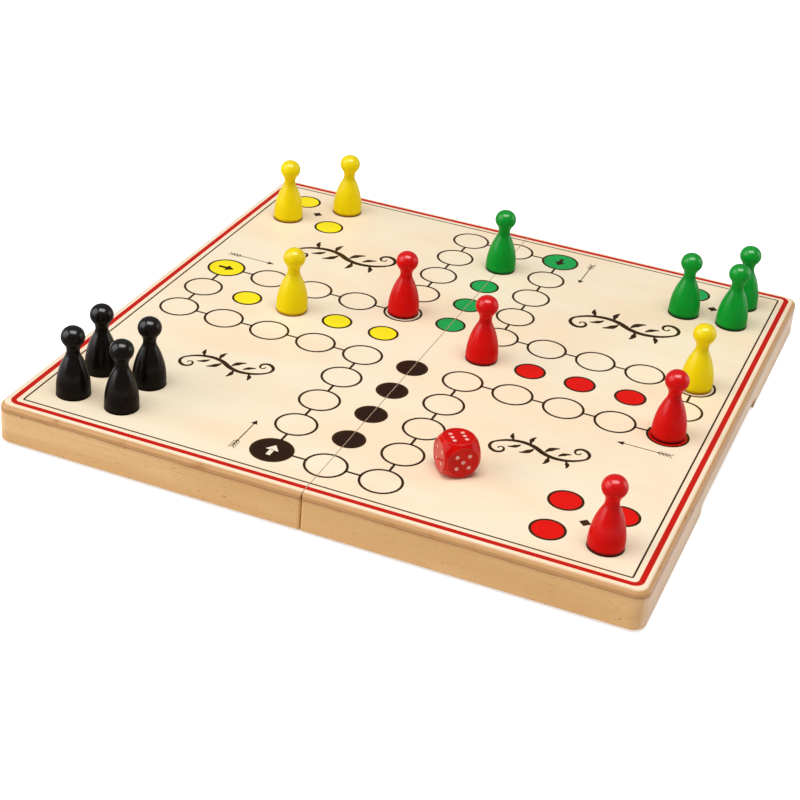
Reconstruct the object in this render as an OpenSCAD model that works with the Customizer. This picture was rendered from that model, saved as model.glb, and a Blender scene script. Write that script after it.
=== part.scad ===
// Folding ludo board box: two shallow wooden trays that lie open, hollow side down, as one
// square playing board, and fold on two brass butt hinges into a closed box. Sixteen turned
// pawns and a die stand on the board.
// X runs along the front edge, Y along the seam away from the front, Z up. The origin is the
// middle of the table under the open board. The rims stand one barrel radius above the table.

/* [Board] */
// Width and depth of the open board
board_w = 290; // [270:2:320]
// Height of a tray from its rim to the playing surface
case_h = 18; // [16:0.5:24]
// Thickness of the printed panel
panel_t = 3; // [2.5:0.25:5]
// Thickness of the solid side walls
wall_t = 8; // [7.5:0.25:11]
// Gap between the two trays along the seam
seam_gap = 0.3; // [0.2:0.05:0.6]
// Radius of the four outer upright corners
corner_r = 6; // [4:0.25:7]
// Radius rounded over the edge of the playing surface
edge_r = 2.8; // [1.5:0.1:3.5]
// Radius that breaks the outer edge of the rim
rim_r = 0.8; // [0.4:0.1:1.2]
// Radius that breaks the upright corners at the seam
seam_r = 1.3; // [0.5:0.1:1.5]

/* [Finger notch] */
// Length of the notch in the rim of each end wall
notch_l = 105; // [70:5:150]
// Depth of the notch
notch_d = 6; // [5:0.5:9]
// Radius in the two inner corners of the notch
notch_r = 2; // [1:0.25:3]

/* [Hinges] */
// Distance from the front or back edge of the board to the middle of the hinge
hinge_inset = 55; // [40:1:75]
// Length of a hinge along the seam
hinge_l = 30; // [26:1:38]
// Distance from the pin axis to the far edge of a leaf
leaf_w = 7; // [6.5:0.1:7.3]
// Thickness of a leaf
leaf_t = 0.9; // [0.7:0.05:1]
// Diameter of the barrel
barrel_d = 2.4; // [2.2:0.1:3]
// Diameter of the hinge pin
pin_d = 1.1; // [0.9:0.05:1.2]
// Thickness of the rivet heads on the pin
pin_head_t = 0.5; // [0.3:0.1:0.8]
// Knuckles of one hinge, both leaves together
knuckles = 5; // [3:2:7]

/* [Screws] */
// Screws in each leaf
screws = 3; // [2:1:3]
// Distance between neighbouring screws
screw_step = 9.5; // [8:0.5:11]
// Diameter of the screw shank
screw_d = 1.8; // [1.4:0.1:2]
// Diameter of the countersunk screw head
screw_head_d = 3.4; // [2.8:0.1:3.6]
// Length of a screw
screw_l = 8; // [6:0.5:10]

/* [Print grid] */
// Distance from the edge of the board to the outermost row of fields
grid_inset = 24.2; // [20:0.2:28]
// Distance from the middle axis to the first row of fields
grid_first = 24.8; // [23:0.1:26]

/* [Pawns] */
// Height of a pawn
pawn_h = 32.5; // [31:0.5:36]
// Diameter of the foot
pawn_foot_d = 15.2; // [14:0.2:17]
// Height of the widest point of the body
pawn_belly_z = 2.6; // [1.5:0.1:3.5]
// Diameter of the neck
pawn_neck_d = 5.8; // [5:0.1:6.6]
// Height of the neck
pawn_neck_z = 21.2; // [20:0.1:21.6]
// Diameter of the head
pawn_head_d = 10.6; // [9.8:0.1:11.6]
// Height of the slightly flattened head
pawn_head_h = 9.5; // [8.8:0.1:9.6]
// Radius round the lower edge of the foot
pawn_foot_r = 0.8; // [0.3:0.1:1.2]

/* [Die] */
// Edge of the die
die_w = 16; // [14:0.5:18]
// Diameter of the ball that rounds the corners of the die
die_ball_d = 21.1; // [20.6:0.1:23]
// Turn of the die on the board
die_turn = 40; // [0:1:90]
// Distance of the middle of the die from the right edge of the board
die_right = 96.6; // [84:0.2:108]
// Distance of the middle of the die from the front edge of the board
die_front = 48.2; // [40:0.2:60]
// Diameter of a pip at the face
pip_d = 1.9; // [1.5:0.1:2.2]
// Depth of a pip
pip_deep = 0.5; // [0.35:0.05:0.6]
// Distance from the middle of a face to its outer rows of pips
pip_step = 2.7; // [2.4:0.1:3]

/* [Hidden] */

$fn = 96;
fine = 240;                    // sides of the large arcs of a pawn
eps = 0.01;                    // overlap of cutting bodies past a face

// Heights
barrel_r = barrel_d / 2;
rim_z = barrel_r;              // the pin axis lies in the plane of the rims
top_z = rim_z + case_h;
under_z = top_z - panel_t;     // underside of the panel

// Plan
half_w = board_w / 2;
grid_rows = 5;                 // rows of fields on each side of the middle axis
seam_x = seam_gap / 2;         // face of a seam wall, from the middle plane
hinge_y = half_w - hinge_inset;
pitch = (half_w - grid_inset - grid_first) / (grid_rows - 1);

// Clearances
pin_clear = 0.05;              // between the pin and its bore, all round
knuckle_clear = 0.1;           // between neighbouring knuckles
barrel_clear = 0.3;            // between the barrel and the wood round it
leaf_sink = 0.05;              // a closed pair of leaves stays this far from the rim plane each
mortise_clear = 0.1;           // round the edges of a leaf
screw_clear = 0.05;            // round a screw, in the leaf and in the wood
pilot_clear = 0.5;             // free depth past the tip of a screw
pip_clear = 0.02;              // between the paint of a pip and its dimple
pip_sink = 0.15;               // the paint lies this deep under the face of the die

// Hinge
pin_r = pin_d / 2;
bore_r = pin_r + pin_clear;
relief_r = barrel_r + barrel_clear;
leaf_edge = barrel_r + barrel_clear;          // near edge of a leaf, from the pin axis
leaf_z = rim_z + leaf_sink;                   // outer face of a leaf
knuckle_l = hinge_l / knuckles;
screw_x = (leaf_w + leaf_edge) / 2;           // screw row, from the pin axis
screw_r = screw_d / 2;
screw_head_r = screw_head_d / 2;
screw_sink = screw_head_r - screw_r;          // height of the 90 degree head
screw_tip = 2;                                // length of the tapered tip
screw_tip_r = 0.3;
slot_w = 0.5;                                 // slot in a screw head
slot_deep = 0.35;

// Pawn: the body is one large arc that leaves the foot upright, the neck one hollow arc, and
// the head a ball whose centre ring is drawn apart by head_flat. The three arcs are tangent.
foot_radius = pawn_foot_d / 2;
neck_radius = pawn_neck_d / 2;
head_arc = pawn_head_h / 2;
head_flat = pawn_head_d / 2 - head_arc;
head_z = pawn_h - head_arc;
neck_in = neck_radius - head_flat;
head_up = head_z - pawn_neck_z;
neck_arc = (neck_in * neck_in + head_up * head_up - head_arc * head_arc) / (2 * (head_arc - neck_in));
neck_x = neck_radius + neck_arc;
waist = neck_x - foot_radius;
neck_up = pawn_neck_z - pawn_belly_z;
body_arc = (waist * waist + neck_up * neck_up - neck_arc * neck_arc) / (2 * (neck_arc - waist));
body_x = foot_radius - body_arc;
body_meets = [body_x + (neck_x - body_x) * body_arc / (body_arc + neck_arc),
              pawn_belly_z + neck_up * body_arc / (body_arc + neck_arc)];
head_meets = [head_flat + (neck_x - head_flat) * head_arc / (head_arc + neck_arc),
              head_z - head_up * head_arc / (head_arc + neck_arc)];

// Pip: a shallow bowl, one ball cut by the face of the die
pip_r = pip_d / 2;
pip_ball = (pip_r * pip_r + pip_deep * pip_deep) / (2 * pip_deep);

// Place of a grid line of the track, counted from the middle axis
function grid(i) = i == 0 ? 0 : sign(i) * (grid_first + (abs(i) - 1) * pitch);

// Colours as they are seen
birch = "#ecd9b4";
beech = "#d8ad74";
brass = "#c9a24a";

// Section through the outer edge of a tray, from corner_r inside the edge out to the edge
module edge_section() {
    low = rim_z + rim_r;
    high = top_z - edge_r;
    translate([0, low]) square([corner_r, high - low]);
    translate([0, rim_z]) square([corner_r - rim_r, case_h / 2]);
    translate([0, rim_z + case_h / 2]) square([corner_r - edge_r, case_h / 2]);
    translate([corner_r - rim_r, low]) circle(rim_r);
    translate([corner_r - edge_r, high]) circle(edge_r);
}

// The edge section run straight for a length, with its outer edge towards negative Y
module edge_run(length) {
    rotate([90, 0, 90]) mirror([1, 0, 0]) linear_extrude(length) edge_section();
}

// The finished block of one tray, at negative X, that all its pieces are cut from
module tray_block() {
    inner = half_w - corner_r;
    run = inner - seam_x;
    difference() {
        union() {
            translate([-inner, -inner, rim_z]) cube([run, 2 * inner, case_h]);
            translate([-inner, -inner, 0]) edge_run(run);
            mirror([0, 1, 0]) translate([-inner, -inner, 0]) edge_run(run);
            translate([-inner, inner, 0]) rotate(-90) edge_run(2 * inner);
            translate([-inner, inner, 0]) rotate(90) rotate_extrude(angle = 90) edge_section();
            translate([-inner, -inner, 0]) rotate(180) rotate_extrude(angle = 90) edge_section();
        }
        seam_corner();
        mirror([0, 1, 0]) seam_corner();
    }
}

// Wood taken off the upright corner where the front edge meets the seam
module seam_corner() {
    translate([-seam_x - seam_r, -half_w + seam_r, 0]) mirror([0, 1, 0])
        linear_extrude(top_z + eps) difference() {
            square(seam_r + eps);
            circle(seam_r);
        }
}

// Panel: the top layer of the block
module panel() {
    color(birch) intersection() {
        tray_block();
        translate([-half_w - eps, -half_w - eps, under_z])
            cube([half_w + eps, board_w + 2 * eps, panel_t + eps]);
    }
}

// Long wall at the front, mitred at the outer corner and square at the seam
module front_wall() {
    color(beech) intersection() {
        tray_block();
        translate([0, 0, rim_z]) linear_extrude(under_z - rim_z)
            polygon([[-half_w, -half_w], [-seam_x, -half_w],
                     [-seam_x, -half_w + wall_t], [-half_w + wall_t, -half_w + wall_t]]);
    }
}

module back_wall() {
    mirror([0, 1, 0]) front_wall();
}

// Outer wall, mitred at both ends, with the finger notch in its rim
module end_wall() {
    color(beech) difference() {
        intersection() {
            tray_block();
            translate([0, 0, rim_z]) linear_extrude(under_z - rim_z)
                polygon([[-half_w, -half_w], [-half_w + wall_t, -half_w + wall_t],
                         [-half_w + wall_t, half_w - wall_t], [-half_w, half_w]]);
        }
        finger_notch();
    }
}

// The notch, run through the end wall
module finger_notch() {
    translate([-half_w - eps, 0, rim_z]) rotate([90, 0, 90]) linear_extrude(wall_t + 2 * eps) {
        translate([-notch_l / 2, -eps]) square([notch_l, notch_d - notch_r + eps]);
        translate([-notch_l / 2 + notch_r, 0]) square([notch_l - 2 * notch_r, notch_d]);
        for (side = [-1, 1])
            translate([side * (notch_l / 2 - notch_r), notch_d - notch_r]) circle(notch_r);
    }
}

// Inner wall beside the seam, let in between the long walls and cut out for both hinges
module seam_wall() {
    color(beech) difference() {
        translate([-seam_x - wall_t, -half_w + wall_t, rim_z])
            cube([wall_t, board_w - 2 * wall_t, under_z - rim_z]);
        for (side = [-1, 1]) translate([0, side * hinge_y, 0]) hinge_cut();
    }
}

// Room in a seam wall for one leaf, half the barrel and the screws
module hinge_cut() {
    barrel_l = hinge_l + 2 * (pin_head_t + barrel_clear);
    leaf_l = hinge_l + 2 * mortise_clear;
    along(barrel_l) circle(relief_r);
    translate([-leaf_w - mortise_clear, -leaf_l / 2, rim_z - eps])
        cube([leaf_w + mortise_clear, leaf_l, leaf_sink + leaf_t + eps]);
    each_screw() screw_form(screw_clear, pilot_clear);
}

// A flat shape on the pin axis, drawn along Y for a length about the middle
module along(length) {
    translate([0, length / 2, rim_z]) rotate([90, 0, 0]) linear_extrude(length) children();
}

// The places of the screws of one leaf
module each_screw() {
    for (i = [0 : screws - 1])
        translate([-screw_x, (i - (screws - 1) / 2) * screw_step, leaf_z]) children();
}

// A countersunk screw with its head down, made larger all round by clear and longer by extra
module screw_form(clear, extra) {
    translate([0, 0, -eps]) cylinder(r = screw_head_r + clear, h = eps);
    cylinder(r1 = screw_head_r + clear, r2 = screw_r + clear, h = screw_sink);
    cylinder(r = screw_r + clear, h = screw_l - screw_tip + extra);
    translate([0, 0, screw_l - screw_tip + extra])
        cylinder(r1 = screw_r + clear, r2 = screw_tip_r + clear, h = screw_tip);
}

// One leaf at negative X with the knuckles whose number leaves the given rest
module hinge_leaf(rest) {
    color(brass) difference() {
        union() {
            translate([-leaf_w, -hinge_l / 2, leaf_z]) cube([leaf_w - leaf_edge, hinge_l, leaf_t]);
            for (i = [rest : 2 : knuckles - 1]) knuckle(i);
        }
        along(hinge_l + 2 * eps) circle(bore_r);
        each_screw() screw_form(screw_clear, 0);
    }
}

// A knuckle is a ring round the pin, and a bridge from the ring to the leaf
module knuckle(i) {
    low = i == 0 ? 0 : knuckle_clear / 2;
    high = i == knuckles - 1 ? 0 : knuckle_clear / 2;
    length = knuckle_l - low - high;
    middle = -hinge_l / 2 + i * knuckle_l + low + length / 2;
    translate([0, middle, 0]) along(length) circle(barrel_r);
    translate([-leaf_edge - eps, middle - length / 2, leaf_z])
        cube([leaf_edge + eps - bore_r, length, leaf_t]);
}

// The pin, with a rivet head at each end
module hinge_pin() {
    color(brass) {
        along(hinge_l + 2 * pin_head_t) circle(pin_r);
        for (side = [-1, 1])
            translate([0, side * (hinge_l + pin_head_t) / 2, 0]) along(pin_head_t)
                circle((pin_r + barrel_r) / 2);
    }
}

// The screws of both hinges in one tray
module hinge_screws() {
    color(brass) for (side = [-1, 1]) translate([0, side * hinge_y, 0]) each_screw()
        difference() {
            screw_body();
            translate([-screw_head_r, -slot_w / 2, -eps])
                cube([screw_head_d, slot_w, slot_deep + eps]);
        }
}

// The screw itself
module screw_body() {
    cylinder(r1 = screw_head_r, r2 = screw_r, h = screw_sink);
    cylinder(r = screw_r, h = screw_l - screw_tip);
    translate([0, 0, screw_l - screw_tip])
        cylinder(r1 = screw_r, r2 = screw_tip_r, h = screw_tip);
}

// Half section of a pawn
module pawn_section() {
    difference() {
        union() {
            intersection() {
                translate([body_x, pawn_belly_z]) circle(body_arc, $fn = fine);
                translate([0, pawn_belly_z]) square([foot_radius, body_meets[1] - pawn_belly_z]);
            }
            polygon([[0, body_meets[1]], body_meets, head_meets, [0, head_meets[1]]]);
        }
        translate([neck_x, pawn_neck_z]) circle(neck_arc);
    }
    intersection() {
        translate([head_flat, head_z]) circle(head_arc);
        translate([0, head_meets[1]]) square([pawn_head_d, pawn_h]);
    }
    translate([0, head_meets[1]]) square([head_flat, pawn_h - head_meets[1]]);
    translate([0, pawn_foot_r]) square([foot_radius, pawn_belly_z - pawn_foot_r]);
    square([foot_radius - pawn_foot_r, pawn_foot_r]);
    translate([foot_radius - pawn_foot_r, pawn_foot_r]) circle(pawn_foot_r);
}

// A pawn on the field where grid line i crosses grid line j
module pawn(i, j, paint) {
    color(paint) translate([grid(i), grid(j), top_z]) rotate_extrude() pawn_section();
}

module pawn_black(i, j) { pawn(i, j, "#1d1a1a"); }
module pawn_yellow(i, j) { pawn(i, j, "#f4d508"); }
module pawn_green(i, j) { pawn(i, j, "#149440"); }
module pawn_red(i, j) { pawn(i, j, "#d3141b"); }

// Sets what follows on the face of the die that looks along the given direction
module on_face(turn) {
    rotate(turn) translate([0, 0, die_w / 2]) children();
}

// The places of the pips, face by face: opposite faces add up to seven
module each_pip() {
    s = pip_step;
    two = [[-s, -s], [s, s]];
    four = concat(two, [[-s, s], [s, -s]]);
    six = concat(four, [[-s, 0], [s, 0]]);
    faces = [[[180, 0, 0], [[0, 0]]],
             [[-90, 0, 0], two],
             [[0, 90, 0], concat(two, [[0, 0]])],
             [[0, -90, 0], four],
             [[90, 0, 0], concat(four, [[0, 0]])],
             [[0, 0, 0], six]];
    for (face = faces) on_face(face[0]) for (place = face[1])
        translate([place[0], place[1], pip_ball - pip_deep]) children();
}

// Places the die, and what is drawn about its centre, on the board
module at_die() {
    translate([half_w - die_right, die_front - half_w, top_z + die_w / 2]) rotate(die_turn) children();
}

module die() {
    color("#cf1a1c") at_die() difference() {
        intersection() {
            cube(die_w, center = true);
            sphere(d = die_ball_d);
        }
        each_pip() sphere(pip_ball);
    }
}

module die_pips() {
    color("white") at_die() intersection() {
        each_pip() sphere(pip_ball - pip_clear);
        cube(die_w - 2 * pip_sink, center = true);
    }
}

// The hinges at the front and at the back, and each tray at its side of the seam
module at_front() { translate([0, -hinge_y, 0]) children(); }
module at_back() { translate([0, hinge_y, 0]) children(); }
module at_right() { mirror([1, 0, 0]) children(); }

panel();  // left_panel
front_wall();  // left_front_wall
back_wall();  // left_back_wall
end_wall();  // left_end_wall
seam_wall();  // left_seam_wall
at_right() panel();  // right_panel
at_right() front_wall();  // right_front_wall
at_right() back_wall();  // right_back_wall
at_right() end_wall();  // right_end_wall
at_right() seam_wall();  // right_seam_wall
at_front() hinge_leaf(0);  // front_hinge_left_leaf
at_front() at_right() hinge_leaf(1);  // front_hinge_right_leaf
at_front() hinge_pin();  // front_hinge_pin
at_back() hinge_leaf(0);  // back_hinge_left_leaf
at_back() at_right() hinge_leaf(1);  // back_hinge_right_leaf
at_back() hinge_pin();  // back_hinge_pin
hinge_screws();  // left_hinge_screws
at_right() hinge_screws();  // right_hinge_screws
pawn_black(-5, -5);  // pawn_black_1
pawn_black(-5, -4);  // pawn_black_2
pawn_black(-4, -5);  // pawn_black_3
pawn_black(-4, -4);  // pawn_black_4
pawn_yellow(-5, 4);  // pawn_yellow_1
pawn_yellow(-4, 5);  // pawn_yellow_2
pawn_yellow(-3, 0);  // pawn_yellow_3
pawn_yellow(5, 1);  // pawn_yellow_4
pawn_green(0, 4);  // pawn_green_1
pawn_green(4, 4);  // pawn_green_2
pawn_green(5, 4);  // pawn_green_3
pawn_green(5, 5);  // pawn_green_4
pawn_red(-1, 1);  // pawn_red_1
pawn_red(1, 0);  // pawn_red_2
pawn_red(5, -1);  // pawn_red_3
pawn_red(5, -5);  // pawn_red_4
die();
die_pips();
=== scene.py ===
import math

import bmesh
import bpy
from mathutils import Matrix, Vector


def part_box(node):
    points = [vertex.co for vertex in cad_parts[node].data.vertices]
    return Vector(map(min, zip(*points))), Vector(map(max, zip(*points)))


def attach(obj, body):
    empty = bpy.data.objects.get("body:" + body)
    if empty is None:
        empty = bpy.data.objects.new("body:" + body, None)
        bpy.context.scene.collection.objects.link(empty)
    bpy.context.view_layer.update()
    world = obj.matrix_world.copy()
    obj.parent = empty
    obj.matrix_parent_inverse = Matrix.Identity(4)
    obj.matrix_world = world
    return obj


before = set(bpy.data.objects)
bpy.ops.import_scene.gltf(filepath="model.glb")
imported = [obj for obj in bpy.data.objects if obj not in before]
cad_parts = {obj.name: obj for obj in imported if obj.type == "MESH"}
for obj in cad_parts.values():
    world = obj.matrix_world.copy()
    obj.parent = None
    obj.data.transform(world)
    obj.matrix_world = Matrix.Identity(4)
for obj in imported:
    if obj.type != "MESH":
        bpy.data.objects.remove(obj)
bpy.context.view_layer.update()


# Side walls
# Each tray has a front, a back, an end and a seam wall of solid beech, planed to 8 mm. They are
# glued up with mitres at the outer corners, rounded over as one block and sprayed with clear
# lacquer. A thin dark glue line runs round under the lip of the panel, with a soft brown band of
# painted shade below it.
mm = 0.001
wall_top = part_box("left_front_wall")[1].z
lip = wall_top + 0.8 * mm


def colour(code):
    """A hex sRGB colour as linear red, green and blue with alpha."""
    parts = [int(code[i:i + 2], 16) / 255 for i in (1, 3, 5)]
    return [p / 12.92 if p <= 0.04045 else ((p + 0.055) / 1.055) ** 2.4 for p in parts] + [1.0]


def add(tree, kind, inputs=None, **settings):
    """Adds one node with its settings. Each input is given a value, or another node's output."""
    made = tree.nodes.new(kind)
    for name, value in settings.items():
        setattr(made, name, value)
    for name, value in (inputs or {}).items():
        if isinstance(value, bpy.types.NodeSocket):
            tree.links.new(value, made.inputs[name])
        else:
            made.inputs[name].default_value = value
    return made


def finish(name, **plain):
    """A new material with one shader, set to the plain values given, and its node tree."""
    material = bpy.data.materials.new(name)
    material.use_nodes = True
    tree = material.node_tree
    tree.nodes.clear()
    values = {socket.replace("_", " "): value for socket, value in plain.items()}
    shader = add(tree, "ShaderNodeBsdfPrincipled", values)
    add(tree, "ShaderNodeOutputMaterial", {"Surface": shader.outputs[0]})
    return material, tree, shader


def blended(tree, base, mark_colour, where, start, end, share=1.0):
    """The base colour, blended smoothly towards a second colour up to share as where goes from
    start to end. It lays real stains and tones as well as painted shade and painted highlights.
    """
    depth = add(tree, "ShaderNodeMapRange", {"Value": where, "From Min": start, "From Max": end,
                                             "To Max": share}, interpolation_type="SMOOTHSTEP")
    mixed = add(tree, "ShaderNodeMix", {0: depth.outputs[0], 6: base, 7: mark_colour}, data_type="RGBA")
    return mixed.outputs[2]


def figure(tree, place, size, detail=2.0):
    """Noise whose features have the given real size in mm along X, Y and Z."""
    scaled = add(tree, "ShaderNodeMapping", {"Vector": place,
                                             "Scale": [1 / (mm * length) for length in size]})
    made = add(tree, "ShaderNodeTexNoise", {"Vector": scaled.outputs[0], "Scale": 1.0,
                                            "Detail": detail})
    return made.outputs["Fac"]


def paint_node(name, material):
    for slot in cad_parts[name].material_slots:
        slot.material = material


# Lacquered beech: planed and sprayed, so the grain is calm, with short darker ray flecks, a few
# pin knots and a soft satin reflection over it. Beech pores are about 0.1 mm wide, and are drawn
# 0.25 mm wide so that they show.
def lacquered_beech(name, grain, light, dark, mark_colour, lip_shade_height):
    material, tree, shader = finish(name, Roughness=0.42, IOR=1.5, Specular_IOR_Level=0.2,
                                    Coat_Weight=0.5, Coat_Roughness=0.2, Coat_IOR=1.5)
    place = add(tree, "ShaderNodeTexCoord").outputs["Object"]
    light, dark, mark_colour = colour(light), colour(dark), colour(mark_colour)

    def along(length, width):
        return (length, width, width) if grain == "X" else (width, length, width)

    clouds = figure(tree, place, along(90, 14), 3.0)
    rings = figure(tree, place, along(70, 1.6), 3.0)
    flecks = figure(tree, place, along(2.6, 0.55), 1.0)
    knots = figure(tree, place, along(3.6, 1.3), 1.0)
    pores = figure(tree, place, along(4, 0.25), 2.0)
    base = blended(tree, light, dark, clouds, 0.34, 0.66)
    base = blended(tree, base, dark, rings, 0.45, 0.7, 0.6)
    base = blended(tree, base, mark_colour, flecks, 0.6, 0.76, 0.24)
    base = blended(tree, base, mark_colour, knots, 0.755, 0.8, 0.85)

    # The height on the wall, made wavy, sets the painted shade under the lip and the dark glue line
    height = add(tree, "ShaderNodeSeparateXYZ", {0: place}).outputs["Z"]
    wobble = figure(tree, place, along(16, 9), 3.0)
    waved = add(tree, "ShaderNodeMath", {0: wobble, 1: 1.6 * mm, 2: height},
                operation="MULTIPLY_ADD").outputs[0]
    base = blended(tree, base, mark_colour, waved, lip - lip_shade_height, lip, 0.26)
    base = blended(tree, base, mark_colour, waved, lip - 0.4 * mm, lip - 0.1 * mm, 0.6)
    tree.links.new(base, shader.inputs["Base Color"])
    bump = add(tree, "ShaderNodeBump", {"Strength": 0.25, "Distance": 0.02 * mm, "Height": pores})
    tree.links.new(bump.outputs[0], shader.inputs["Normal"])
    return material


beech_long = lacquered_beech("lacquered_beech_long_walls", "X", "#f1c284", "#e4b070", "#a8703a",
                             2 * mm)
# The end walls get a paler copy of the same beech: painted light for the whitish sheen they catch
beech_end_painted_paler = lacquered_beech("beech_end_walls_painted_paler", "Y", "#f9d4a8", "#eec090", "#b08050",
                            2.6 * mm)
beech_seam = lacquered_beech("lacquered_beech_seam_walls", "Y", "#ddb27c", "#d0a066", "#9a6a38",
                             1.2 * mm)
for tray in ("left", "right"):
    paint_node(tray + "_front_wall", beech_long)
    paint_node(tray + "_back_wall", beech_long)
    paint_node(tray + "_end_wall", beech_end_painted_paler)
    paint_node(tray + "_seam_wall", beech_seam)


# Panels
# The lid of each tray is 3 mm birch plywood, glued over the walls and rounded over with them. Its
# face is primed cream under clear lacquer. The rounded edge shows the bare plies, the underside
# plain birch.
panel_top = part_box("left_panel")[1].z
panel_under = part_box("left_panel")[0].z
ply_t = 0.6 * mm


# Primed and lacquered birch ply: an even cream face with a faint warm mottle, a browner wood on
# the round edge, with plies, scorch marks from the cutter and a band of painted shade low on it,
# and a satin gloss.
def printed_birch_ply():
    material, tree, shader = finish("printed_birch_ply", Roughness=0.4, IOR=1.5,
                                    Specular_IOR_Level=0.2, Coat_Weight=0.35, Coat_Roughness=0.2,
                                    Coat_IOR=1.5)
    coordinates = add(tree, "ShaderNodeTexCoord")
    place = coordinates.outputs["Object"]
    height = add(tree, "ShaderNodeSeparateXYZ", {0: place}).outputs["Z"]
    facing = add(tree, "ShaderNodeSeparateXYZ", {0: coordinates.outputs["Normal"]}).outputs["Z"]
    mottle = figure(tree, place, (60, 28, 28), 2.0)
    veneer = figure(tree, place, (45, 1.4, 1.4), 3.0)
    scorch = figure(tree, place, (11, 11, 5), 3.0)

    face = blended(tree, colour("#ffeed0"), colour("#ffe6c4"), mottle, 0.35, 0.7)
    face = blended(tree, face, colour("#efd3a6"), veneer, 0.5, 0.8, 0.18)

    # Down the edge come the plies, a darker band of painted shade and the brown glue line over the
    # wall
    plies = add(tree, "ShaderNodeMath", {0: height, 1: ply_t}, operation="PINGPONG").outputs[0]
    edge = blended(tree, colour("#d6a570"), colour("#c8935a"), plies, 0.2 * mm, 0.4 * mm, 0.5)
    edge = blended(tree, edge, colour("#a86c34"), height, panel_under + 1.9 * mm,
                   panel_under + 0.9 * mm, 0.32)
    edge = blended(tree, edge, colour("#a05c28"), height, panel_under + 0.5 * mm,
                   panel_under + 0.1 * mm, 0.5)
    edge = blended(tree, edge, colour("#a0602e"), scorch, 0.6, 0.74, 0.55)

    side = blended(tree, edge, face, height, panel_top - 0.4 * mm, panel_top)
    under = blended(tree, colour("#f0d6a8"), colour("#e0be8a"), veneer, 0.35, 0.75, 0.6)
    shown = blended(tree, side, under, facing, -0.6, -0.9)
    tree.links.new(shown, shader.inputs["Base Color"])
    ripple = figure(tree, place, (9, 6, 6), 1.0)
    bump = add(tree, "ShaderNodeBump", {"Strength": 0.15, "Distance": 0.03 * mm, "Height": ripple})
    tree.links.new(bump.outputs[0], shader.inputs["Normal"])
    return material


birch_panel = printed_birch_ply()
paint_node("left_panel", birch_panel)
paint_node("right_panel", birch_panel)


# Printed game field
# The track, the home and base fields, the arrows and the double border are screen-printed before
# the last coat of lacquer. Each ink lies as a thin film, and the print stops just short of the
# seam on both trays. The films are drawn flat, cut at the seam, then given their thickness.
def middle(name):
    low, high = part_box(name)
    return (low + high) / 2


pitch = middle("pawn_green_3").x - middle("pawn_green_2").x
first_line = middle("pawn_green_2").x - 3 * pitch
seam_bare = 0.22 * mm
ink_t = 0.05 * mm
line_w = 1.12 * mm
fine_line_w = 0.75 * mm
band_w = 2.4 * mm
line_square = 5.68 * pitch
band_square = 5.84 * pitch
ring_r = 9.57 * mm
home_r = 7.4 * mm
base_r = 7.7 * mm
sign_l, sign_w = 8.4 * mm, 6 * mm
diamond_r = 2.6 * mm
shaft_l, shaft_w = pitch * 0.92, 0.45 * mm
barb_l, barb_w = 3.2 * mm, 3 * mm
feather_l, feather_w = 2.4 * mm, 0.35 * mm
inks = {name: bmesh.new()
        for name in ("line", "black", "yellow", "green", "red", "cream", "border")}


def grid(i):
    """The place of grid line i. The two lines beside the middle stand a little further out."""
    return 0 if i == 0 else math.copysign(first_line + (abs(i) - 1) * pitch, i)


def turned(quarter, x, y, heading=0):
    """A place on the board after some quarter turns clockwise, facing heading before them."""
    spin = Matrix.Rotation(-quarter * math.pi / 2, 4, "Z")
    return spin @ Matrix.Translation((x, y, 0)) @ Matrix.Rotation(math.radians(heading), 4, "Z")


def disc(ink, place, radius, segments=96):
    bmesh.ops.create_circle(inks[ink], cap_ends=True, segments=segments, radius=radius,
                            matrix=place)


def ring(ink, place, radius, width):
    """A line round a circle, whose outer edge has the given radius."""
    edges = []
    for r in (radius, radius - width):
        made = bmesh.ops.create_circle(inks[ink], cap_ends=False, segments=96, radius=r,
                                       matrix=place)
        edges += {e for v in made["verts"] for e in v.link_edges}
    bmesh.ops.bridge_loops(inks[ink], edges=edges)


def bar(ink, place, length, width):
    """A straight stroke that starts at place and runs along its X."""
    size = Matrix.Diagonal((length, width, 1, 1))
    bmesh.ops.create_grid(inks[ink], x_segments=1, y_segments=1, size=0.5,
                          matrix=place @ Matrix.Translation((length / 2, 0, 0)) @ size)


def head(ink, place, length, width):
    """A three-cornered arrow head that starts at place and points along its X."""
    reach = Matrix.Diagonal((length / 1.5, width / math.sqrt(3), 1, 1))
    aim = Matrix.Rotation(-math.pi / 2, 4, "Z")
    disc(ink, place @ Matrix.Translation((length / 3, 0, 0)) @ reach @ aim, 1, 3)


def outlined(ink, place, radius):
    """A field of one ink, with a dark line round it."""
    disc(ink, place, radius - line_w / 2)
    ring("line", place, radius, line_w)


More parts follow.
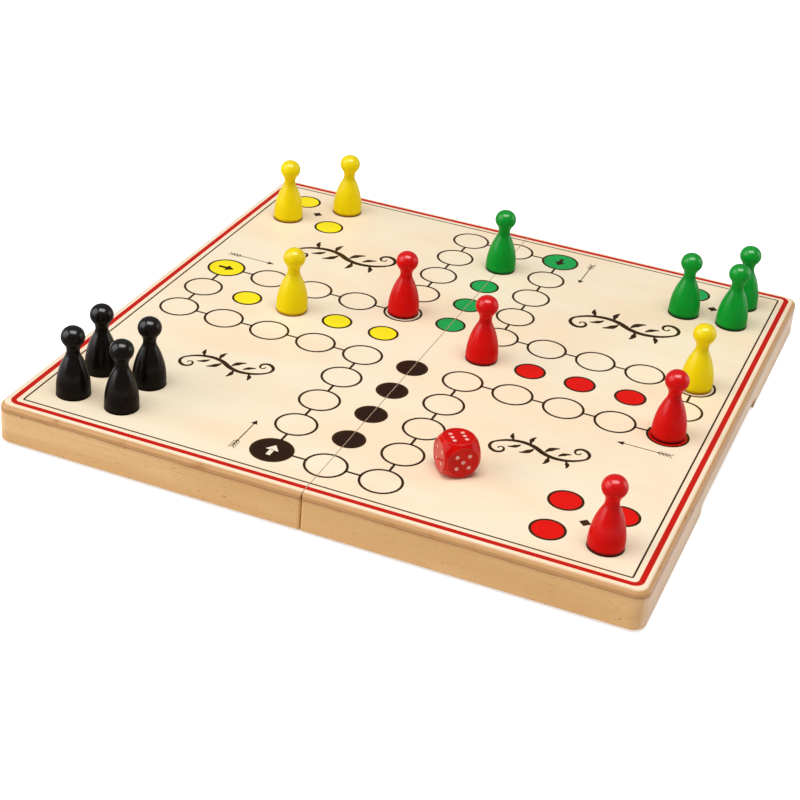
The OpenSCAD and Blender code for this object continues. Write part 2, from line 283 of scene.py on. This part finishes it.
# One quarter of the track, from its first field to the first field of the next quarter
quarter_track = ([(-1, y) for y in (-5, -4, -3, -2, -1)] + [(x, -1) for x in (-2, -3, -4, -5)]
                 + [(-5, 0), (-5, 1)])
for quarter, ink in enumerate(("black", "yellow", "green", "red")):
    outlined(ink, turned(quarter, grid(-1), grid(-5)), ring_r)
    for field, next_field in zip(quarter_track, quarter_track[1:]):
        start, end = (Vector((grid(i), grid(j), 0)) for i, j in (field, next_field))
        if next_field != quarter_track[-1]:
            ring("line", turned(quarter, *end.xy), ring_r, line_w)
        way = end - start
        way_on = math.degrees(math.atan2(way.y, way.x))
        edge = start + way.normalized() * (ring_r - line_w / 2)
        bar("line", turned(quarter, *edge.xy, way_on), way.length - 2 * ring_r + line_w, line_w)
    for i in (1, 2, 3, 4):
        outlined(ink, turned(quarter, 0, grid(-i)), home_r)
    for i in (-4, -5):
        for j in (-4, -5):
            outlined(ink, turned(quarter, grid(i), grid(j)), base_r)

    # A plain arrow on the first field points the way round
    sign = "cream" if ink == "black" else "line"
    tail = turned(quarter, grid(-1), grid(-5) - sign_l / 2, 90)
    bar(sign, tail, sign_l * 0.55, sign_w / 3)
    head(sign, tail @ Matrix.Translation((sign_l * 0.5, 0, 0)), sign_l * 0.5, sign_w)

    # A small diamond marks the middle of the four base fields
    corner = (grid(-4) + grid(-5)) / 2
    disc("line", turned(quarter, corner, corner), diamond_r, 4)

    # A feathered arrow beside the first field
    arrow = turned(quarter, -1.7 * pitch, -5.25 * pitch, 90)
    bar("line", arrow, shaft_l, shaft_w)
    head("line", arrow @ Matrix.Translation((0.86 * pitch, 0, 0)), barb_l, barb_w)
    for row in range(4):
        for side in (-1, 1):
            feather = Matrix.Translation(((0.02 + row * 0.07) * pitch, 0, 0))
            bar("line", arrow @ feather @ Matrix.Rotation(side * math.radians(140), 4, "Z"),
                feather_l, feather_w)


# The border: a thin dark square line inside a red band with round corners
def border(ink, middle_line, width, corner, segments):
    flat = inks[ink]
    made = bmesh.ops.create_grid(flat, x_segments=1, y_segments=1, size=middle_line + width / 2)
    bmesh.ops.bevel(flat, geom=made["verts"], offset=corner, affect="VERTICES",
                    segments=segments, profile=0.5, material=-1)
    flat.faces.ensure_lookup_table()
    square = max(flat.faces, key=lambda face: face.calc_area())
    bmesh.ops.inset_region(flat, faces=[square], thickness=width, use_even_offset=True,
                           use_boundary=True)
    bmesh.ops.delete(flat, geom=[square], context="FACES_ONLY")


border("line", line_square, fine_line_w, 1 * mm, 4)
border("border", band_square, band_w, 4.5 * mm, 10)


# Pen strokes: a flat nib drawn along arcs, each with its length, its turn in degrees and the
# width at its end. An arc takes a step every 9 degrees. They make a plain scroll with a rolled
# end at both sides.
def stroke(place, width, arcs):
    flat = inks["line"]
    ends = [bmesh.ops.create_vert(flat, co=place @ Vector((0, side * width / 2, 0)))["vert"][0]
            for side in (-1, 1)]
    nib = flat.edges.new(ends)
    for length, turn, end_width in arcs:
        steps = max(2, round(abs(turn) / 9))
        for step in range(steps):
            turn_step = Matrix.Rotation(math.radians(turn) / steps, 4, "Z")
            place = place @ Matrix.Translation((length / steps, 0, 0)) @ turn_step
            grown = width + (end_width - width) * (step + 1) / steps
            made = bmesh.ops.extrude_edge_only(flat, edges=[nib])["geom"]
            nib = next(e for e in made if isinstance(e, bmesh.types.BMEdge))
            for vert, side in zip(nib.verts, (-1, 1)):
                vert.co = place @ Vector((0, side * grown / 2, 0))
        width = end_width


def scroll(x, y, width):
    """Two like halves about the middle, each a rolled stem with four leaves."""
    # Lengths are shares of half the width. A leaf has its root, its heading and its size
    hair, full = 0.022, 0.1
    leaves = ((0.1, 0.0, 72, 1.1), (0.34, -0.02, 62, 0.9), (0.2, -0.14, -72, 0.9),
              (0.5, -0.12, -48, 0.8))
    for side in (-1, 1):
        half = Matrix.Diagonal((side * width / 2, side * width / 2, 1, 1))
        at = Matrix.Translation((x, y, 0)) @ half
        stroke(at @ Matrix.Rotation(math.radians(-35), 4, "Z"), full,
               [(0.46, 50, full * 0.8), (0.4, 40, hair * 2), (0.36, 110, full * 0.7),
                (0.28, 150, hair * 1.6), (0.14, 170, hair)])
        for leaf_x, leaf_y, heading, size in leaves:
            stem = Matrix.Translation((leaf_x, leaf_y, 0))
            stroke(at @ stem @ Matrix.Rotation(math.radians(heading), 4, "Z"), hair,
                   [(0.13 * size, -25, full * size), (0.15 * size, -30, hair)])


# The far quarters have the longer scrolls
for y, width in ((2.8, 2.6), (-2.7, 2.1)):
    for x in (-3.12, 3.12):
        scroll(x * pitch, y * pitch, width * pitch)


# Screen ink under lacquer: opaque and even, a little worn, and with the same satin gloss as the
# panel.
def screen_ink(name, code, wear_and_rim_sheen):
    material, tree, shader = finish(name, Roughness=0.4, IOR=1.5, Specular_IOR_Level=0.1,
                                    Coat_Weight=0.2, Coat_Roughness=0.18, Coat_IOR=1.5)
    place = add(tree, "ShaderNodeTexCoord").outputs["Object"]
    cloud = figure(tree, place, (7, 7, 7), 2.0)
    shown = blended(tree, colour(code), colour(wear_and_rim_sheen), cloud, 0.4, 0.8, 0.6)
    tree.links.new(shown, shader.inputs["Base Color"])
    return material


# Each ink has its material and its thickness in films, thicker where it lies over another ink
ink_looks = {"line": (screen_ink("dark_brown_ink", "#362006", "#462e0e"), 1.2),
             "black": (screen_ink("black_brown_ink", "#2c160c", "#341c10"), 1.0),
             "yellow": (screen_ink("yellow_ink", "#fce81c", "#f6de20"), 1.0),
             "green": (screen_ink("green_ink", "#22a852", "#1f9c4a"), 1.0),
             "red": (screen_ink("red_ink", "#e61208", "#d80e06"), 1.0),
             "cream": (screen_ink("cream_ink", "#fbeed6", "#f6e6c8"), 1.6),
             "border": (screen_ink("dark_red_ink", "#cc1a0e", "#c01c10"), 1.0)}
for ink, flat in inks.items():
    material, films = ink_looks[ink]
    for tray, side in (("left", -1), ("right", 1)):
        film = flat.copy()
        bmesh.ops.bisect_plane(film, geom=film.verts[:] + film.edges[:] + film.faces[:], dist=1e-7,
                               plane_co=(side * seam_bare, 0, 0), plane_no=(side, 0, 0),
                               clear_inner=True)
        if not film.faces:
            film.free()
            continue
        raised = bmesh.ops.extrude_face_region(film, geom=film.faces[:], use_keep_orig=True)
        bmesh.ops.translate(film, vec=(0, 0, ink_t * films),
                            verts=[v for v in raised["geom"] if isinstance(v, bmesh.types.BMVert)])
        bmesh.ops.translate(film, vec=(0, 0, panel_top), verts=film.verts)
        bmesh.ops.recalc_face_normals(film, faces=film.faces)
        mesh = bpy.data.meshes.new(f"{tray}_print_{ink}")
        film.to_mesh(mesh)
        film.free()
        mesh.materials.append(material)
        piece = bpy.data.objects.new(mesh.name, mesh)
        bpy.context.scene.collection.objects.link(piece)
        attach(piece, tray + "_half")
    flat.free()


# Hinges
# Two brass butt hinges join the trays under the seam, let into the rims of the seam walls: stamped
# leaves with rolled knuckles, a riveted pin, and slotted countersunk screws.

# Rolled brass: bare metal with fine lines from rolling, dulled a little by handling. The lines are
# drawn 0.12 mm wide, several times as coarse as they are, so that they show.
def rolled_brass():
    material, tree, shader = finish("rolled_brass", Metallic=1.0, Roughness=0.3)
    place = add(tree, "ShaderNodeTexCoord").outputs["Object"]
    handling = figure(tree, place, (6, 6, 6), 3.0)
    lines = figure(tree, place, (0.12, 6, 0.12), 2.0)
    shown = blended(tree, colour("#d9b562"), colour("#c09a4c"), handling, 0.35, 0.7)
    tree.links.new(shown, shader.inputs["Base Color"])
    bump = add(tree, "ShaderNodeBump", {"Strength": 0.2, "Distance": 0.01 * mm, "Height": lines})
    tree.links.new(bump.outputs[0], shader.inputs["Normal"])
    return material


brass = rolled_brass()
for end in ("front", "back"):
    for part in ("left_leaf", "right_leaf", "pin"):
        paint_node(f"{end}_hinge_{part}", brass)
paint_node("left_hinge_screws", brass)
paint_node("right_hinge_screws", brass)


# Pawns
# Four pawns to a colour, turned from hardwood and dipped in coloured lacquer, which rounds every
# edge and gives a soft bright spot on each head.

# Dipped lacquer: slightly wavy, with a thick even gloss on top and a thin one down the sides, where
# it runs off, and a darker foot that is painted shade where the pawn meets the board.
def dipped_lacquer(name, code, deep, painted_foot_shade):
    material, tree, shader = finish(name, Roughness=0.38, IOR=1.5, Specular_IOR_Level=0.05,
                                    Coat_Roughness=0.2, Coat_IOR=1.6)
    coordinates = add(tree, "ShaderNodeTexCoord")
    place = coordinates.outputs["Object"]
    height = add(tree, "ShaderNodeSeparateXYZ", {0: place}).outputs["Z"]
    facing = add(tree, "ShaderNodeSeparateXYZ", {0: coordinates.outputs["Normal"]}).outputs["Z"]
    thick = add(tree, "ShaderNodeMapRange", {"Value": facing, "From Min": 0.15, "From Max": 0.7,
                                             "To Min": 0.06, "To Max": 1.0})
    tree.links.new(thick.outputs[0], shader.inputs["Coat Weight"])
    cloud = figure(tree, place, (9, 9, 14), 2.0)
    shown = blended(tree, colour(code), colour(deep), cloud, 0.35, 0.75, 0.7)
    # Painted shade: the foot darkens towards the board
    shown = blended(tree, shown, colour(painted_foot_shade), height, panel_top + 2.2 * mm,
                    panel_top + 0.6 * mm, 0.95)
    tree.links.new(shown, shader.inputs["Base Color"])
    wave = figure(tree, place, (2.2, 2.2, 3.5), 1.0)
    bump = add(tree, "ShaderNodeBump", {"Strength": 0.1, "Distance": 0.03 * mm, "Height": wave})
    tree.links.new(bump.outputs[0], shader.inputs["Normal"])
    tree.links.new(bump.outputs[0], shader.inputs["Coat Normal"])
    return material


# Each colour lists its lacquer, a deeper tone of it and the painted shade at its foot
lacquers = {"black": ("#100906", "#0c0704", "#060302"), "yellow": ("#fae004", "#f2d002", "#a87406"),
            "green": ("#089c2e", "#068a26", "#06340e"), "red": ("#de0806", "#cc0404", "#420605")}
for shade, (code, deep, painted_foot_shade) in lacquers.items():
    lacquer = dipped_lacquer(shade + "_lacquer", code, deep, painted_foot_shade)
    for number in (1, 2, 3, 4):
        paint_node(f"pawn_{shade}_{number}", lacquer)


# Die
# One die, moulded in red acrylic and tumbled so that its corners are round. The pips are sunk
# into its faces and filled with white paint.

# Moulded acrylic: clear red through and through, so a little light spreads inside it. The rims of
# the six flats are rounded in the shading, so each catches a thin line of light, and each rim is
# also painted a paler red as a painted highlight.
def moulded_acrylic():
    material, tree, shader = finish("moulded_red_acrylic", Roughness=0.22, IOR=1.49,
                                    Specular_IOR_Level=0.05, Coat_Weight=1.0, Coat_Roughness=0.08,
                                    Coat_IOR=1.23, Subsurface_Weight=0.15, Subsurface_Scale=2 * mm,
                                    Subsurface_Radius=(1.0, 0.1, 0.06))
    place = add(tree, "ShaderNodeTexCoord").outputs["Object"]
    flow = figure(tree, place, (5, 5, 8), 2.0)
    shown = blended(tree, colour("#d60a04"), colour("#c80804"), flow, 0.35, 0.7)
    wear_and_rim_sheen = add(tree, "ShaderNodeBevel", {"Radius": 0.5 * mm}, samples=8).outputs[0]
    level = add(tree, "ShaderNodeNewGeometry").outputs["True Normal"]
    rim_highlight_mask = add(tree, "ShaderNodeVectorMath", {0: wear_and_rim_sheen, 1: level},
               operation="DOT_PRODUCT").outputs["Value"]
    # Painted highlight: a paler red along the rim of each flat, where the bevel bends the normal
    shown = blended(tree, shown, colour("#ff8c76"), rim_highlight_mask, 0.99, 0.95, 0.4)
    tree.links.new(shown, shader.inputs["Base Color"])
    tree.links.new(wear_and_rim_sheen, shader.inputs["Normal"])
    tree.links.new(wear_and_rim_sheen, shader.inputs["Coat Normal"])
    return material


# Pip paint: matt white, thin enough to let some red through
def pip_paint():
    material, tree, shader = finish("white_pip_paint", Roughness=0.5, IOR=1.5)
    place = add(tree, "ShaderNodeTexCoord").outputs["Object"]
    thin = figure(tree, place, (0.8, 0.8, 0.8), 2.0)
    shown = blended(tree, colour("#fbc8c0"), colour("#f2a097"), thin, 0.4, 0.8)
    tree.links.new(shown, shader.inputs["Base Color"])
    return material


paint_node("die", moulded_acrylic())
paint_node("die_pips", pip_paint())


# Studio
# A plain pale floor under the board, a soft box over it, a very broad lamp from the left, a weak
# one from the right, and an even room that the camera sees as white.
room = bpy.data.worlds.new("room")
bpy.context.scene.world = room
room.use_nodes = True
room_tree = room.node_tree
room_tree.nodes.clear()
path = add(room_tree, "ShaderNodeLightPath")
seen = add(room_tree, "ShaderNodeMath", {0: path.outputs["Is Camera Ray"],
                                         1: path.outputs["Is Transmission Ray"]},
           operation="MAXIMUM").outputs[0]
ambient, walls, white = (add(room_tree, "ShaderNodeBackground",
                             {"Color": colour(code), "Strength": strength}).outputs[0]
                         for code, strength in (("#f4f6ff", 0.2), ("#ffffff", 0.15),
                                                ("#ffffff", 1.0)))
lit = add(room_tree, "ShaderNodeMixShader", {0: path.outputs["Is Glossy Ray"], 1: ambient,
                                             2: walls}).outputs[0]
shown = add(room_tree, "ShaderNodeMixShader", {0: seen, 1: lit, 2: white}).outputs[0]
add(room_tree, "ShaderNodeOutputWorld", {"Surface": shown})

ground = bmesh.new()
bmesh.ops.create_grid(ground, x_segments=1, y_segments=1, size=4)
floor_mesh = bpy.data.meshes.new("floor")
ground.to_mesh(floor_mesh)
ground.free()
floor = bpy.data.objects.new("floor", floor_mesh)
bpy.context.scene.collection.objects.link(floor)

# White paper: its shadow stays soft, and the camera sees it lifted to white
paper = bpy.data.materials.new("white_paper")
paper.use_nodes = True
paper_tree = paper.node_tree
paper_tree.nodes.clear()
matt = add(paper_tree, "ShaderNodeBsdfDiffuse", {"Color": colour("#f2f2f2")}).outputs[0]
by_camera = add(paper_tree, "ShaderNodeLightPath").outputs["Is Camera Ray"]
lift = add(paper_tree, "ShaderNodeMath", {0: by_camera, 1: 0.6}, operation="MULTIPLY").outputs[0]
glow = add(paper_tree, "ShaderNodeEmission", {"Color": colour("#ffffff"),
                                              "Strength": lift}).outputs[0]
both = add(paper_tree, "ShaderNodeAddShader", {0: matt, 1: glow}).outputs[0]
add(paper_tree, "ShaderNodeOutputMaterial", {"Surface": both})
floor_mesh.materials.append(paper)

for name, place, size, watts in (("top_lamp", (0.1, -0.3, 2.0), (1.7, 1.0), 31),
                                 ("left_lamp", (-1.7, -1.0, 1.0), (2.0, 2.0), 25),
                                 ("right_lamp", (1.25, 0.75, 0.4), (0.9, 0.9), 3)):
    light = bpy.data.lights.new(name, "AREA")
    light.shape = "RECTANGLE"
    light.size, light.size_y = size
    light.energy = watts
    lamp = bpy.data.objects.new(name, light)
    lamp.location = place
    lamp.rotation_euler = (-Vector(place)).to_track_quat("-Z", "Y").to_euler()
    bpy.context.scene.collection.objects.link(lamp)

# The camera stands in front, a little to the right, and looks down on the open board
lens = bpy.data.cameras.new("camera")
lens.lens = 80.2
lens.shift_x = 0.042
lens.shift_y = -0.05
camera = bpy.data.objects.new("camera", lens)
camera.location = (238.2 * mm, -701.1 * mm, 411.5 * mm)
camera.rotation_euler = [math.radians(a) for a in (61.38, -3.9, 23.22)]
bpy.context.scene.collection.objects.link(camera)
bpy.context.scene.camera = camera
bpy.context.scene.view_settings.view_transform = "Standard"
